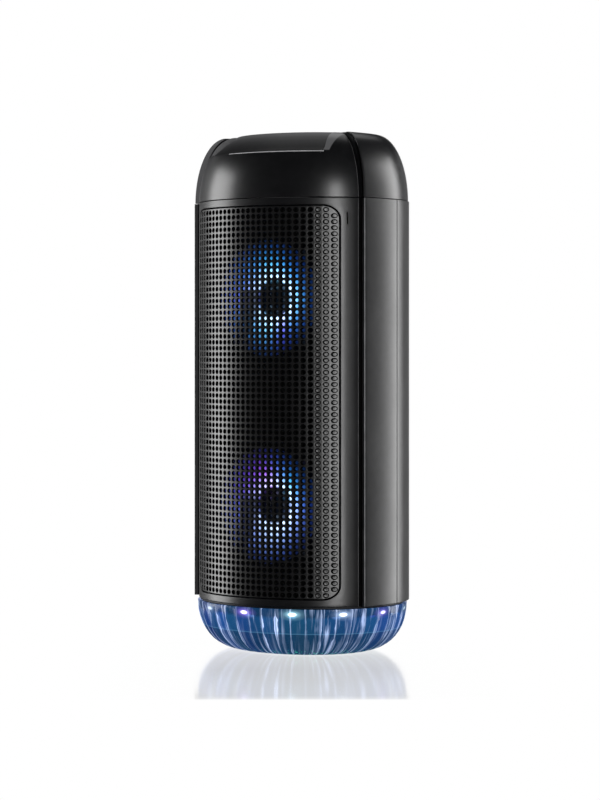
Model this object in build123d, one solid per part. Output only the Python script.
from build123d import *
import math
import os

# Two-driver speaker: an oval upright body, a cap with the controls and a domed lamp below.
# Sizes in mm. The origin is on the ground under the middle, +Z is up, the grille faces -Y.

os.makedirs("parts", exist_ok=True)

# ---------------------------------------------------------------- driving sizes
SIDES = (-1, 1)
HALF_WIDTH = 101.8              # widest half width, centre shell and rear cover
FRONT_HALF_X = 100.2            # front plan, a superellipse: half width, depth, exponent
FRONT_DEPTH = 86.4
FRONT_POWER = 2.0
WIDEST_Y = 2.5                  # where the rear plan is widest
REAR_DEPTH = 83.9               # rear plan depth behind WIDEST_Y, and its exponent
REAR_POWER = 2.1
WALL = 3.0                      # shell wall
BODY_BOTTOM = 47.6              # underside of the body shells
Z_SEAM = 414.3                  # seam between body and cap
BODY_TOP = Z_SEAM - 0.2
SEAM_Y = 4.2                    # back edge of the centre shell
REAR_Y = SEAM_Y + 0.4           # front edge of the rear cover
EDGE_X, EDGE_Y = 95.2, -39.7    # leading edge of the centre shell
GROOVE_X, GROOVE_Y = 89.0, -39.69   # front lip of the side channel

CASE_SCREWS = [(side * 80.0, z) for side in SIDES for z in (82.0, 230.0, 382.0)]   # x, z
FRONT_CAP_SCREW = (0, -69)      # x, y
REAR_CAP_SCREW = (0, 70)
SIDE_CAP_SCREWS = [(82, -5), (-82, -5)]
CAP_SCREWS = SIDE_CAP_SCREWS + [REAR_CAP_SCREW, FRONT_CAP_SCREW]
PORT_Z = 228.0                  # height of the bass port


# ---------------------------------------------------------------- output
def save(node, *pieces):
    """Write one STEP file, from one shape or from several separate solids."""
    solids = pieces if len(pieces) > 1 else pieces[0].solids()
    shape = solids[0] if len(solids) == 1 else Compound(children=list(solids))
    shape.label = node
    export_step(shape, "parts/" + node + ".step")


# ---------------------------------------------------------------- plan curves
def front_curve(half_x, inset=0.0, count=24):
    """Front plan curve from -half_x to +half_x."""
    width, depth = FRONT_HALF_X - inset, FRONT_DEPTH - inset
    end = math.asin(half_x / width)
    points = []
    for i in range(count + 1):
        x = width * math.sin(-end + 2 * end * i / count)
        points.append((x, -depth * (1 - abs(x / width) ** FRONT_POWER) ** (1 / FRONT_POWER)))
    return points


def side_x(y):
    """Outer x of the +X side: a taper ahead of WIDEST_Y, the rear superellipse behind it."""
    if y >= WIDEST_Y:
        share = (y - WIDEST_Y) / REAR_DEPTH
        return HALF_WIDTH * (1 - share ** REAR_POWER) ** (1 / REAR_POWER)
    return HALF_WIDTH - 6.06 * ((WIDEST_Y - y) / 40.0) ** 1.6


def side_curve(y_end, count=8):
    """+X side from the leading edge back to y_end."""
    ys = [EDGE_Y + (y_end - EDGE_Y) * i / count for i in range(count + 1)]
    return [(side_x(y), y) for y in ys]


def rear_curve(half_x, depth, start=0.0, count=24):
    """Rear superellipse from +X round the back to -X, leaving out a start angle at each end."""
    points = []
    for i in range(count + 1):
        angle = start + (math.pi - 2 * start) * i / count
        cosine, sine = math.cos(angle), max(0.0, math.sin(angle))
        x = half_x * math.copysign(abs(cosine) ** (2 / REAR_POWER), cosine)
        points.append((x, WIDEST_Y + depth * sine ** (2 / REAR_POWER)))
    return points


def cover_curve(inset=0.0):
    """Rear plan curve starting at the rear cover's front edge."""
    depth = REAR_DEPTH - inset
    start = math.asin(((REAR_Y - WIDEST_Y) / depth) ** (REAR_POWER / 2))
    return rear_curve(HALF_WIDTH - inset, depth, start)


def mirrored(points):
    return [(-x, y) for x, y in reversed(points)]


def plan_wire(segments, z):
    """Closed wire: a two-point segment is straight, a longer one is a spline."""
    edges = []
    last = segments[-1][-1]
    for segment in segments:
        if math.dist(last, segment[0]) > 1e-6:
            edges.append(Line((*last, z), (*segment[0], z)).edge())
        points = [(x, y, z) for x, y in segment]
        edges.append((Line(*points) if len(points) == 2 else Spline(*points)).edge())
        last = segment[-1]
    return Wire(edges)


def oval_wire(half_x, half_y, power, z, count=40):
    """Closed superellipse as one periodic spline."""
    points = []
    for i in range(count):
        angle = math.radians(360 * i / count)
        sine, cosine = math.sin(angle), math.cos(angle)
        x = half_x * math.copysign(abs(sine) ** (2 / power), sine)
        y = -half_y * math.copysign(abs(cosine) ** (2 / power), cosine)
        points.append((x, y, z))
    return Wire([Spline(*points, periodic=True).edge()])


# ---------------------------------------------------------------- basic solids
def raised(wire, height):
    return Solid.extrude(Face(wire), Vector(0, 0, height))


def prism(segments, z_low, z_high):
    return raised(plan_wire(segments, z_low), z_high - z_low)


def polygon_prism(points, z_low, z_high):
    wire = Wire.make_polygon([(x, y, z_low) for x, y in points], close=True)
    return raised(wire, z_high - z_low)


def turned_z(outline):
    """Solid of revolution about Z from (radius, z) pairs."""
    wire = Wire.make_polygon([(radius, 0, z) for radius, z in outline], close=True)
    return revolve(Face(wire), Axis.Z, 360)


def turned_y(outline):
    """Solid of revolution about Y from (radius, y) pairs."""
    return Rot(X=-90) * turned_z(outline)


def rod_y(radius, x, z, y_from, y_to):
    return Pos(x, (y_from + y_to) / 2, z) * Rot(X=-90) * Cylinder(radius, y_to - y_from)


def rod_z(radius, x, y, z_from, z_to):
    return Pos(x, y, (z_from + z_to) / 2) * Cylinder(radius, z_to - z_from)


def about(centre, half):
    """Span reaching half to each side of centre."""
    return centre - half, centre + half


def block(*spans):
    """Box from its x, y and z spans, each (low, high)."""
    return Pos(*[sum(span) / 2 for span in spans]) * Box(*[high - low for low, high in spans])


def rounded_slab(half_x, z_low, z_high, radius, y_from, y_to):
    """Rounded rectangle in XZ, centred on x = 0 and extruded along Y."""
    outline = RectangleRounded(2 * half_x, z_high - z_low, radius)
    centre = Pos(0, (y_from + y_to) / 2, (z_low + z_high) / 2)
    return centre * Rot(X=-90) * extrude(outline, (y_to - y_from) / 2, both=True)


def oval(inset, z_low, z_high):
    """Elliptical prism, inset from the front plan's half sizes."""
    ellipse = Ellipse(FRONT_HALF_X - inset, FRONT_DEPTH - inset)
    return Pos(0, 0, z_low) * extrude(ellipse, z_high - z_low)


def spread(count, start=0):
    """Evenly spread angles over a full turn, in degrees."""
    return [start + 360 * i / count for i in range(count)]


def cap_screw_hole(x, y):
    """Clearance hole through the top of a body shell."""
    return rod_z(2.0, x, y, Z_SEAM - 6, Z_SEAM + 2)


# ---------------------------------------------------------------- front shell and grille
GRILLE_HALF = 78.6                      # grille opening: half width, bottom, top, corner
GRILLE_LOW, GRILLE_HIGH = 53.8, 407.6
GRILLE_CORNER = 12.5
GRILLE_GAP = 1.3                        # between the opening and the grille
FLANGE_IN = (80.1, -36.9)               # inner end of the flange beside each side channel
FLANGE_BACK = (FLANGE_IN[0] - 1.7, FLANGE_IN[1] - 2.5)
SLOT_X, SLOT_HALF = 82.7, 0.7           # slot beside each channel, near the top


def front_shell():
    """Shallow tray: curved front frame with a floor, a roof and a flange down each side."""
    shell = prism([
        front_curve(GROOVE_X),
        [FLANGE_IN, FLANGE_BACK],
        list(reversed(front_curve(83.2, WALL))),
        mirrored([FLANGE_IN, FLANGE_BACK]),
    ], BODY_BOTTOM, BODY_TOP)
    deck = [front_curve(83.3, WALL - 0.4)]
    shell += prism(deck, BODY_BOTTOM, BODY_BOTTOM + WALL)
    shell += prism(deck, BODY_TOP - WALL, BODY_TOP)
    shell -= rounded_slab(GRILLE_HALF, GRILLE_LOW, GRILLE_HIGH, GRILLE_CORNER, -100, -42)
    shell -= cap_screw_hole(*FRONT_CAP_SCREW)
    for side in SIDES:
        shell -= block(about(side * SLOT_X, SLOT_HALF), (-52, -44.2), (390.4, 401.2))
    return shell


def front_grille():
    """Curved band trimmed to a rounded rectangle."""
    half = GRILLE_HALF - GRILLE_GAP
    low, high = GRILLE_LOW + GRILLE_GAP, GRILLE_HIGH - GRILLE_GAP
    band = prism([front_curve(half, 0.4), list(reversed(front_curve(half, 2.8)))], low, high)
    return band & rounded_slab(half, low, high, GRILLE_CORNER - GRILLE_GAP, -100, -40)


save("front_shell", front_shell())
save("front_grille", front_grille())

# Side channel trims: plan corners (x, y) of the +X one
TRIM = [(83.5, -37.5), (89.9, -35.3), (88.6, -32.5), (81.9, -35.0)]
save("right_channel_trim", polygon_prism(TRIM, BODY_BOTTOM, BODY_TOP))
save("left_channel_trim", polygon_prism(mirrored(TRIM), BODY_BOTTOM, BODY_TOP))


# ---------------------------------------------------------------- centre shell and rear cover
def centre_shell():
    """Tube open to front and back: two outer walls, a top deck and a bottom deck."""
    side = side_curve(SEAM_Y)
    front_left = [(-91.7, -38.3), (-89.5, -32.1)]
    shell = prism([side, mirrored(side), front_left, mirrored(front_left)], BODY_BOTTOM, BODY_TOP)
    hollow = [(-90.6, -40), (90.6, -40), (98.4, 10), (-98.4, 10)]
    shell -= polygon_prism(hollow, BODY_BOTTOM + WALL, BODY_TOP - WALL)
    for x, z in CASE_SCREWS:
        shell += rod_y(5.5, x, z, -26, SEAM_Y)                                   # boss
        shell += block(sorted((x, x * 1.2)), (-24, SEAM_Y), about(z, 2.5))       # rib to the wall
    for x, z in CASE_SCREWS:
        shell -= rod_y(1.9, x, z, -16, SEAM_Y + 1)
    for place in SIDE_CAP_SCREWS:
        shell -= cap_screw_hole(*place)
    return shell


def rear_cover():
    cover = prism([cover_curve()], BODY_BOTTOM, BODY_TOP)
    hollow = [[(98.2, REAR_Y - 2), (-98.2, REAR_Y - 2)], list(reversed(cover_curve(WALL)))]
    cover -= prism(hollow, BODY_BOTTOM + WALL, BODY_TOP - WALL)
    boss_limit = prism([cover_curve(0.5)], BODY_BOTTOM, BODY_TOP)
    for x, z in CASE_SCREWS:
        cover += rod_y(6.0, x, z, REAR_Y, 60) & boss_limit
    for x, z in CASE_SCREWS:
        cover -= rod_y(2.1, x, z, 0, 70)        # shank clearance
        cover -= rod_y(4.2, x, z, 28, 70)       # well for the head
    cover -= rounded_slab(OPENING_HALF, OPENING_LOW, OPENING_HIGH, OPENING_CORNER, 60, 95)
    cover -= rod_y(25.2, 0, PORT_Z, 60, 95)
    cover -= cap_screw_hole(*REAR_CAP_SCREW)
    return cover


def case_screw(x, z):
    return (rod_y(1.8, x, z, -9, 28.1) + rod_y(3.9, x, z, 28.05, 31.0)).solid()


OPENING_HALF = 44                       # rear cover opening for the jacks
OPENING_LOW, OPENING_HIGH = 322, 372
OPENING_CORNER = 5

save("centre_shell", centre_shell())
save("rear_cover", rear_cover())
save("case_screws", *[case_screw(x, z) for x, z in CASE_SCREWS])

# ---------------------------------------------------------------- top cap
CAP_TOP = 475.2
SHOULDER_HEIGHT, SHOULDER_WIDTH = 61.0, 36.0    # half axes of the shoulder ellipse
REAR_SHARE = 0.78                       # rear shoulder, as a share of the front one
CAP_STEP = 0.9                          # the cap stands this far inside the rear plan
CAP_LEVELS = [Z_SEAM, 430.0, 442.5, 452.5, 460.0, 466.0, 470.5, 473.6]
TOP_INSET = 35.0                        # plan inset at CAP_TOP
SCOOP_LIP = 456.4                       # lower lip of the scoop in the cap
SCOOP_LEVELS = [(10.9, SCOOP_LIP - 0.5), (21.5, 465.2), (36.0, 475.4)]    # inset, z
CHANNEL_NORMAL = (0.858, -0.514)        # outward normal at the channel's front lip
CHANNEL_DEPTH = 6


def cap_inset(z):
    share = (z - Z_SEAM) / SHOULDER_HEIGHT
    return SHOULDER_WIDTH * (1 - math.sqrt(1 - share * share))


def cap_wire(inset, z):
    """Cap plan at one height. The whole plan shrinks with the inset, channels included."""
    front_x, front_y = 1 - inset / FRONT_HALF_X, 1 - inset / FRONT_DEPTH    # scales
    front = [(x * front_x, y * front_y) for x, y in front_curve(GROOVE_X)]
    rear_inset = REAR_SHARE * inset
    half_x = HALF_WIDTH - CAP_STEP - rear_inset
    depth = REAR_DEPTH - CAP_STEP - rear_inset
    side_scale, side_scale_y = half_x / HALF_WIDTH, 1 - rear_inset / FRONT_DEPTH
    side = [(x * side_scale, y * side_scale_y) for x, y in side_curve(WIDEST_Y)]
    side[-1] = (half_x, WIDEST_Y)       # meets the unscaled start of the rear curve
    channel_floor = [
        ((GROOVE_X - CHANNEL_DEPTH * CHANNEL_NORMAL[0]) * front_x,
         (GROOVE_Y - CHANNEL_DEPTH * CHANNEL_NORMAL[1]) * front_y),
        ((EDGE_X - 4.6) * side_scale, (EDGE_Y + 3.3) * side_scale_y),
    ]
    return plan_wire([front, channel_floor, side, rear_curve(half_x, depth),
                      mirrored(side), mirrored(channel_floor)], z)


def top_cap():
    wires = [cap_wire(cap_inset(z), z) for z in CAP_LEVELS] + [cap_wire(TOP_INSET, CAP_TOP)]
    cap = Solid.make_loft(wires, ruled=True)
    # Scoop: everything outside a steeper inner cone goes, within a block at the front
    core = Solid.make_loft([
        oval_wire(FRONT_HALF_X - inset, FRONT_DEPTH - inset, FRONT_POWER, z)
        for inset, z in SCOOP_LEVELS], ruled=True)
    cap -= block(about(0, 58.5), (-95, -26), (SCOOP_LIP - 0.4, 475.3)) - core
    cap -= oval(38.0, 466.3, 480)                       # dish for the control panel
    cap -= oval(12.5, Z_SEAM - 1, 440.0) + oval(21.0, 439.0, 452.0) + oval(29.0, 451.0, 462.6)
    cap -= block(about(0, 47), (-32, 27), (455, 467))   # window for the button board
    for x, y in CAP_SCREWS:
        cap += rod_z(5.5, x, y, Z_SEAM, 442)
    for x, y in CAP_SCREWS:
        cap -= rod_z(1.9, x, y, Z_SEAM - 1, 432)
    return cap


def cap_screw(x, y):
    shank = rod_z(1.7, x, y, Z_SEAM - 3.5, 430)
    return (shank + rod_z(3.4, x, y, Z_SEAM - 5.6, Z_SEAM - 3.3)).solid()


save("top_cap", top_cap())
save("cap_screws", *[cap_screw(x, y) for x, y in CAP_SCREWS])

# ---------------------------------------------------------------- control panel and controls
PANEL_TOP = 469.7
BUTTON_RADIUS = 5.95
KNOB = (0.0, 10.0)                      # x, y
KNOB_RADIUS = 15.0
BUTTONS = {                             # x, y
    "button_mode": (-36.0, -22.0), "button_previous": (-12.0, -22.0),
    "button_play": (12.0, -22.0), "button_next": (36.0, -22.0),
    "button_light": (-38.0, 12.0), "button_power": (38.0, 12.0),
}


def control_panel():
    panel = oval(38.4, 466.5, PANEL_TOP)
    for x, y in BUTTONS.values():
        panel -= rod_z(BUTTON_RADIUS + 0.2, x, y, 460, 480)
    return panel - rod_z(3.4, *KNOB, 460, 480)


def button(x, y):
    """Cap, retaining collar and a thin stem below."""
    cap = rod_z(BUTTON_RADIUS, x, y, 464.6, 471.4)
    return cap + rod_z(7.4, x, y, 463.6, 465.2) + rod_z(1.6, x, y, 462.5, 463.7)


def volume_knob():
    """Chamfered disc on a shaft, with grooves round its rim."""
    knob = turned_z([(0, 470.1), (KNOB_RADIUS, 470.1), (KNOB_RADIUS, 473.6),
                     (13.8, 474.9), (0, 474.9)])
    knob += rod_z(3.0, 0, 0, 464.4, 470.4)
    for degrees in spread(24):
        angle, reach = math.radians(degrees), KNOB_RADIUS + 0.4
        knob -= rod_z(0.9, reach * math.cos(angle), reach * math.sin(angle), 471, 476)
    return Pos(*KNOB, 0) * knob


def button_board():
    """Board with a switch block under each button."""
    board = block(about(0, 43), (-30, 25), (453.6, 455.2))
    for x, y in BUTTONS.values():
        board += block(about(x, 3), about(y, 3), (455.0, 461.3))
    return board


save("control_panel", control_panel())
for node, place in BUTTONS.items():
    save(node, button(*place))
save("volume_knob", volume_knob())
save("volume_potentiometer", rod_z(8.5, *KNOB, 456.0, 464.2))
save("button_board", button_board())

# ---------------------------------------------------------------- baffle and drivers
DRIVER_HEIGHTS = {"upper": 324.8, "lower": 135.2}
FLANGE_RADIUS = 51.5
FLANGE_FRONT, FLANGE_REAR = -53.0, -50.1
SCREW_CIRCLE = 115.0                    # diameter; four screws on its diagonals
SCREW_OFFSET = SCREW_CIRCLE / 2 * math.sqrt(0.5)
SCREW_SPOTS = [(side * SCREW_OFFSET, level * SCREW_OFFSET) for side in SIDES for level in SIDES]

# Outlines turned about the driver axis, as (radius, y)
BASKET = [                              # flange, sloping wall, front plate of the motor
    (46.4, FLANGE_FRONT), (FLANGE_RADIUS, FLANGE_FRONT), (FLANGE_RADIUS, FLANGE_REAR),
    (46.6, FLANGE_REAR), (35.5, -20.0), (35.5, -16.2), (13.7, -16.2), (13.7, -19.0),
    (33.0, -19.0), (33.6, -20.4), (44.9, -50.2), (46.4, -51.2),
]
MAGNET = [(18.5, -16.0), (40, -16.0), (40, -2.0), (18.5, -2.0)]
YOKE = [(0, -18.5), (11.8, -18.5), (11.8, -1.8), (38, -1.8), (38, 3.6), (0, 3.6)]
VOICE_COIL = [(12.2, -33.0), (12.9, -33.0), (12.9, -7.5), (12.2, -7.5)]
CONE = [                                # with a collar round the coil former
    (38.2, -51.6), (37.4, -51.6), (13.0, -37.0), (13.0, -32.6), (13.35, -32.6),
    (13.35, -36.0), (38.2, -50.8),
]
LED_RING = [(47.4, -56.6), (52.6, -56.6), (52.6, -53.2), (47.4, -53.2)]


def driver_baffle():
    baffle = block(about(0, 73), (-50.0, -46.0), (51.0, 410.8))
    for height in DRIVER_HEIGHTS.values():
        baffle -= rod_y(47.2, 0, height, -55, -40)
        for x, z in SCREW_SPOTS:
            baffle -= rod_y(1.6, x, height + z, -55, -40)
    return baffle


def basket():
    """Stamped basket with four screw lugs and six windows in the wall."""
    shape = turned_y(BASKET)
    middle, thickness = (FLANGE_FRONT + FLANGE_REAR) / 2, FLANGE_REAR - FLANGE_FRONT
    for x, z in SCREW_SPOTS:
        shape += rod_y(5.0, x, z, FLANGE_FRONT, FLANGE_REAR)
        shape += Pos(x * 0.9, middle, z * 0.9) * Rot(Y=45) * Box(10, thickness, 10)
    for degrees in spread(6, 30):
        shape -= Pos(0, -34, 0) * Rot(Y=degrees) * Pos(40, 0, 0) * Box(26, 18, 24)
    for x, z in SCREW_SPOTS:
        shape -= rod_y(1.7, x, z, -55, -45)
    return shape - rod_y(46.3, 0, 0, -55, -52.0)        # seat for the surround


def spider():
    """Pleated disc."""
    ring = [(13.5 + 1.7 * i, -26.0 + (0.9 if i % 2 else -0.9)) for i in range(13)]
    return turned_y(ring + [(radius, y + 0.6) for radius, y in reversed(ring)])


def roll(half_width, height):
    """Half-round roll of the surround, bulging forward."""
    angles = [math.pi * i / 12 for i in range(13)]
    return [(42.2 - half_width * math.cos(angle), -51.8 - height * math.sin(angle))
            for angle in angles]


def dome(radius, height):
    """Dust cap curve, from its middle out to 60 degrees."""
    angles = [math.radians(degrees) for degrees in range(0, 61, 6)]
    return [(radius * math.sin(angle), -28.5 - height * math.cos(angle)) for angle in angles]


def led_ring():
    ring = turned_y(LED_RING)
    for degrees in spread(24):
        angle = math.radians(degrees)
        place = Pos(50.0 * math.cos(angle), -57.0, 50.0 * math.sin(angle))
        ring += place * Rot(Y=-degrees) * Box(2.6, 1.6, 3.2)
    return ring


def driver_screw(x, z):
    return (rod_y(1.5, x, z, -53.2, -43.0) + rod_y(3.0, x, z, -55.2, -53.1)).solid()


def driver_parts():
    """Parts of one driver, with its axis at z = 0."""
    return {
        "basket": basket(),
        "magnet": turned_y(MAGNET),
        "yoke": turned_y(YOKE),
        "spider": spider(),
        "voice_coil": turned_y(VOICE_COIL),
        "cone": turned_y(CONE),
        "surround": turned_y(roll(3.7, 3.4) + list(reversed(roll(3.0, 2.7)))),
        "dust_cap": turned_y(dome(15.6, 18.8) + list(reversed(dome(14.9, 18.0)))),
        "led_ring": led_ring(),
    }


save("driver_baffle", driver_baffle())
for driver, height in DRIVER_HEIGHTS.items():
    for part, shape in driver_parts().items():
        save(driver + "_" + part, Pos(0, 0, height) * shape)
save("driver_screws", *[driver_screw(x, height + z)
                        for height in DRIVER_HEIGHTS.values() for x, z in SCREW_SPOTS])

# ---------------------------------------------------------------- bass port
PORT = [                                # (radius, y): tube, flange and flared mouth
    (22.0, 26.0), (24.6, 26.0), (24.6, 73.0), (31.0, 73.0), (31.0, 76.5),
    (25.0, 76.5), (25.0, 81.5), (23.6, 81.5), (22.0, 77.0),
]
save("bass_port", Pos(0, 0, PORT_Z) * turned_y(PORT))

# ---------------------------------------------------------------- jack plate and sockets
PLATE_Y = 73.3                          # outer (+Y) face of the jack plate
HOUSING_Y = PLATE_Y - 3.0               # back end of the housings inside the plate
MIC_JACK = (-27.0, 346.0)               # x, z of each opening
AUX_JACK = (-9.0, 354.0)
USB_X, USB_Z = 9.0, 354.0
DC_JACK = (28.0, 354.0)
SWITCH_X, SWITCH_Z = 9.0, 336.0


def jack_plate():
    plate = block(about(0, OPENING_HALF + 2.5), (PLATE_Y - 2.8, PLATE_Y),
                  (OPENING_LOW - 5, OPENING_HIGH + 5))
    plate -= rod_y(6.0, *MIC_JACK, 60, 90)
    plate -= rod_y(4.0, *AUX_JACK, 60, 90)
    plate -= block(about(USB_X, 6.8), (60, 90), about(USB_Z, 3.0))
    plate -= rod_y(5.0, *DC_JACK, 60, 90)
    return plate - block(about(SWITCH_X, 5.2), (60, 90), about(SWITCH_Z, 2.7))


def jack_plate_frame():
    """Rim lining the opening, trimmed just inside the cover's surface."""
    gap, inner = 0.3, 2.5
    rim = rounded_slab(OPENING_HALF - gap, OPENING_LOW + gap, OPENING_HIGH - gap,
                       OPENING_CORNER - gap, PLATE_Y, 95)
    rim -= rounded_slab(OPENING_HALF - inner, OPENING_LOW + inner, OPENING_HIGH - inner,
                        3, PLATE_Y - 1, 99)
    return rim & prism([cover_curve(0.8)], 300, 390)


def socket(place, width, height, depth, collar, bore, bore_length, proud):
    """Round socket: housing inside the plate, collar through it and a blind bore."""
    x, z = place
    face = PLATE_Y + proud
    shape = block(about(x, width / 2), (HOUSING_Y - depth, HOUSING_Y), about(z, height / 2))
    shape += rod_y(collar, x, z, PLATE_Y - 4.0, face)
    return shape - rod_y(bore, x, z, face - bore_length, face + 1)


def usb_port():
    """Open-ended shell with a tongue."""
    port = block(about(USB_X, 6.6), (PLATE_Y - 17, PLATE_Y + 0.4), about(USB_Z, 2.85))
    port -= block(about(USB_X, 6.2), (PLATE_Y - 16.5, PLATE_Y + 2), about(USB_Z, 2.45))
    tongue_z = (USB_Z + 0.4, USB_Z + 1.9)
    return port + block(about(USB_X, 5.6), (PLATE_Y - 16.6, PLATE_Y - 2), tongue_z)


def power_switch_body():
    body = block(about(SWITCH_X, 7.5), (PLATE_Y - 9.5, HOUSING_Y), about(SWITCH_Z, 4.5))
    return body - block(about(SWITCH_X, 5.0), (PLATE_Y - 7.5, PLATE_Y), about(SWITCH_Z, 2.2))


def power_switch_slider():
    """Shown off, at the -X end of its slot; on is 4.6 mm towards +X."""
    return block((SWITCH_X - 4.7, SWITCH_X - 0.2), (PLATE_Y - 7.3, PLATE_Y + 1.6),
                 about(SWITCH_Z, 2.0))


save("jack_plate", jack_plate())
save("jack_plate_frame", jack_plate_frame())
save("mic_jack", socket(MIC_JACK, width=16, height=17, depth=29.0, collar=5.8,
                        bore=3.25, bore_length=28.0, proud=1.6))
save("aux_jack", socket(AUX_JACK, width=9.0, height=9.0, depth=14.0, collar=3.8,
                        bore=1.80, bore_length=14.0, proud=0.8))
dc_socket = socket(DC_JACK, width=10.5, height=11.5, depth=14.0, collar=4.8,
                   bore=2.75, bore_length=10.0, proud=0.4)
save("dc_jack", dc_socket + rod_y(1.0, *DC_JACK, PLATE_Y - 12, PLATE_Y - 1))    # centre pin
save("usb_port", usb_port())
save("power_switch_body", power_switch_body())
save("power_switch_slider", power_switch_slider())


# ---------------------------------------------------------------- electronics
def main_board():
    """Board with two component blocks on its front face."""
    board = block(about(0, 44), (38.0, 39.6), (318, 392))
    return board + (block((-36, -10), (24, 38.1), (366, 388))
                    + block((8, 30), (26, 38.1), (340, 356)))


def battery_strap():
    """Bar across the front of the battery with an arm back along each side."""
    strap_z = (108, 124)
    strap = block(about(0, 46), (22.6, 25.4), strap_z)
    for side in SIDES:
        strap += block(sorted((side * 39.2, side * 46)), (22.6, 66), strap_z)
    return strap


save("main_board", main_board())
save("battery_pack", block(about(0, 38.5), (26, 63), (84, 150)))
save("battery_strap", battery_strap())

# ---------------------------------------------------------------- lamp base
LAMP_HALF_X, LAMP_HALF_Y = 100.9, 86.2  # rim plan
LAMP_POWER = 2.05                       # plan exponent
LAMP_TOP = 45.4
LAMP_BOTTOM = 0.6                       # the pads stand this far out of the floor
LAMP_WALL = 3.0
DOME_POWER = 2.15                       # exponent of the dome's profile
DOME_LEVELS = [LAMP_BOTTOM, 1.6, 3.6, 7.0, 11.5, 17.5, 25.0, 34.0, LAMP_TOP]
HOLLOW_LEVELS = [                       # z, extra wall
    (3.8, 4.0), (7.0, 1.6), (11.5, 0.6), (17.5, 0), (25.0, 0), (34.0, 0), (LAMP_TOP + 0.5, 0),
]
FEET = [(side * 26, end * 19) for side in SIDES for end in SIDES]


def on_oval(half_x, half_y, degrees):
    angle = math.radians(degrees)
    return half_x * math.sin(angle), -half_y * math.cos(angle)


LAMP_SCREWS = [on_oval(74, 62, degrees) for degrees in spread(6, 30)]


def lamp_scale(z):
    """Plan scale of the dome at a height, 1 at the rim."""
    share = max(0.0, (LAMP_TOP - z) / (LAMP_TOP - LAMP_BOTTOM))
    return 1 - 0.42 * (1 - (1 - share ** DOME_POWER) ** (1 / DOME_POWER))


def lamp_wire(scale, z, inset=0.0):
    return oval_wire(LAMP_HALF_X * scale - inset, LAMP_HALF_Y * scale - inset, LAMP_POWER, z)


def lamp_dome():
    dome_wires = [lamp_wire(lamp_scale(z), z) for z in DOME_LEVELS]
    lamp = Solid.make_loft(dome_wires, ruled=True)
    hollow = [lamp_wire(lamp_scale(z), z, LAMP_WALL + extra) for z, extra in HOLLOW_LEVELS]
    lamp -= Solid.make_loft(hollow, ruled=True)
    for x, y in FEET:
        lamp -= rod_z(5.3, x, y, -1, 1.6)
    return lamp


def lamp_led_board():
    board = raised(lamp_wire(1.0, 38.6, 6.0), 1.6) - raised(lamp_wire(0.6, 38.0), 3)
    for x, y in LAMP_SCREWS:
        board -= rod_z(2.2, x, y, 36, 44)
    return board


def lamp_led(degrees):
    place = Pos(*on_oval(88.0, 74.0, degrees), 37.5)
    return (place * Rot(Z=degrees) * Box(5.0, 5.0, 1.8)).solid()


def lamp_screw(x, y):
    return (rod_z(1.6, x, y, 38.3, 46.5) + rod_z(3.2, x, y, 36.2, 38.4)).solid()


def bottom_plate():
    """Plate under the body, with a ring below it that fits inside the lamp's rim."""
    plate_z, ring_z = 45.6, 40.4
    plate = raised(lamp_wire(1.0, plate_z, 2.4), BODY_BOTTOM - 0.2 - plate_z)
    plate += raised(lamp_wire(1.0, ring_z, 4.5), 5.3)
    plate -= raised(lamp_wire(0.55, 39.0), 5.0)
    for x, y in LAMP_SCREWS:
        plate -= rod_z(1.7, x, y, 39, 46.9)
    return plate


save("lamp_dome", lamp_dome())
save("foot_pads", *[rod_z(5.1, x, y, 0, 1.5) for x, y in FEET])
save("lamp_light_plate", raised(lamp_wire(lamp_scale(22.0), 22.0, LAMP_WALL + 1.0), 1.6))
save("lamp_led_board", lamp_led_board())
save("lamp_leds", *[lamp_led(degrees) for degrees in spread(13, 24)])
save("lamp_screws", *[lamp_screw(x, y) for x, y in LAMP_SCREWS])
save("bottom_plate", bottom_plate())
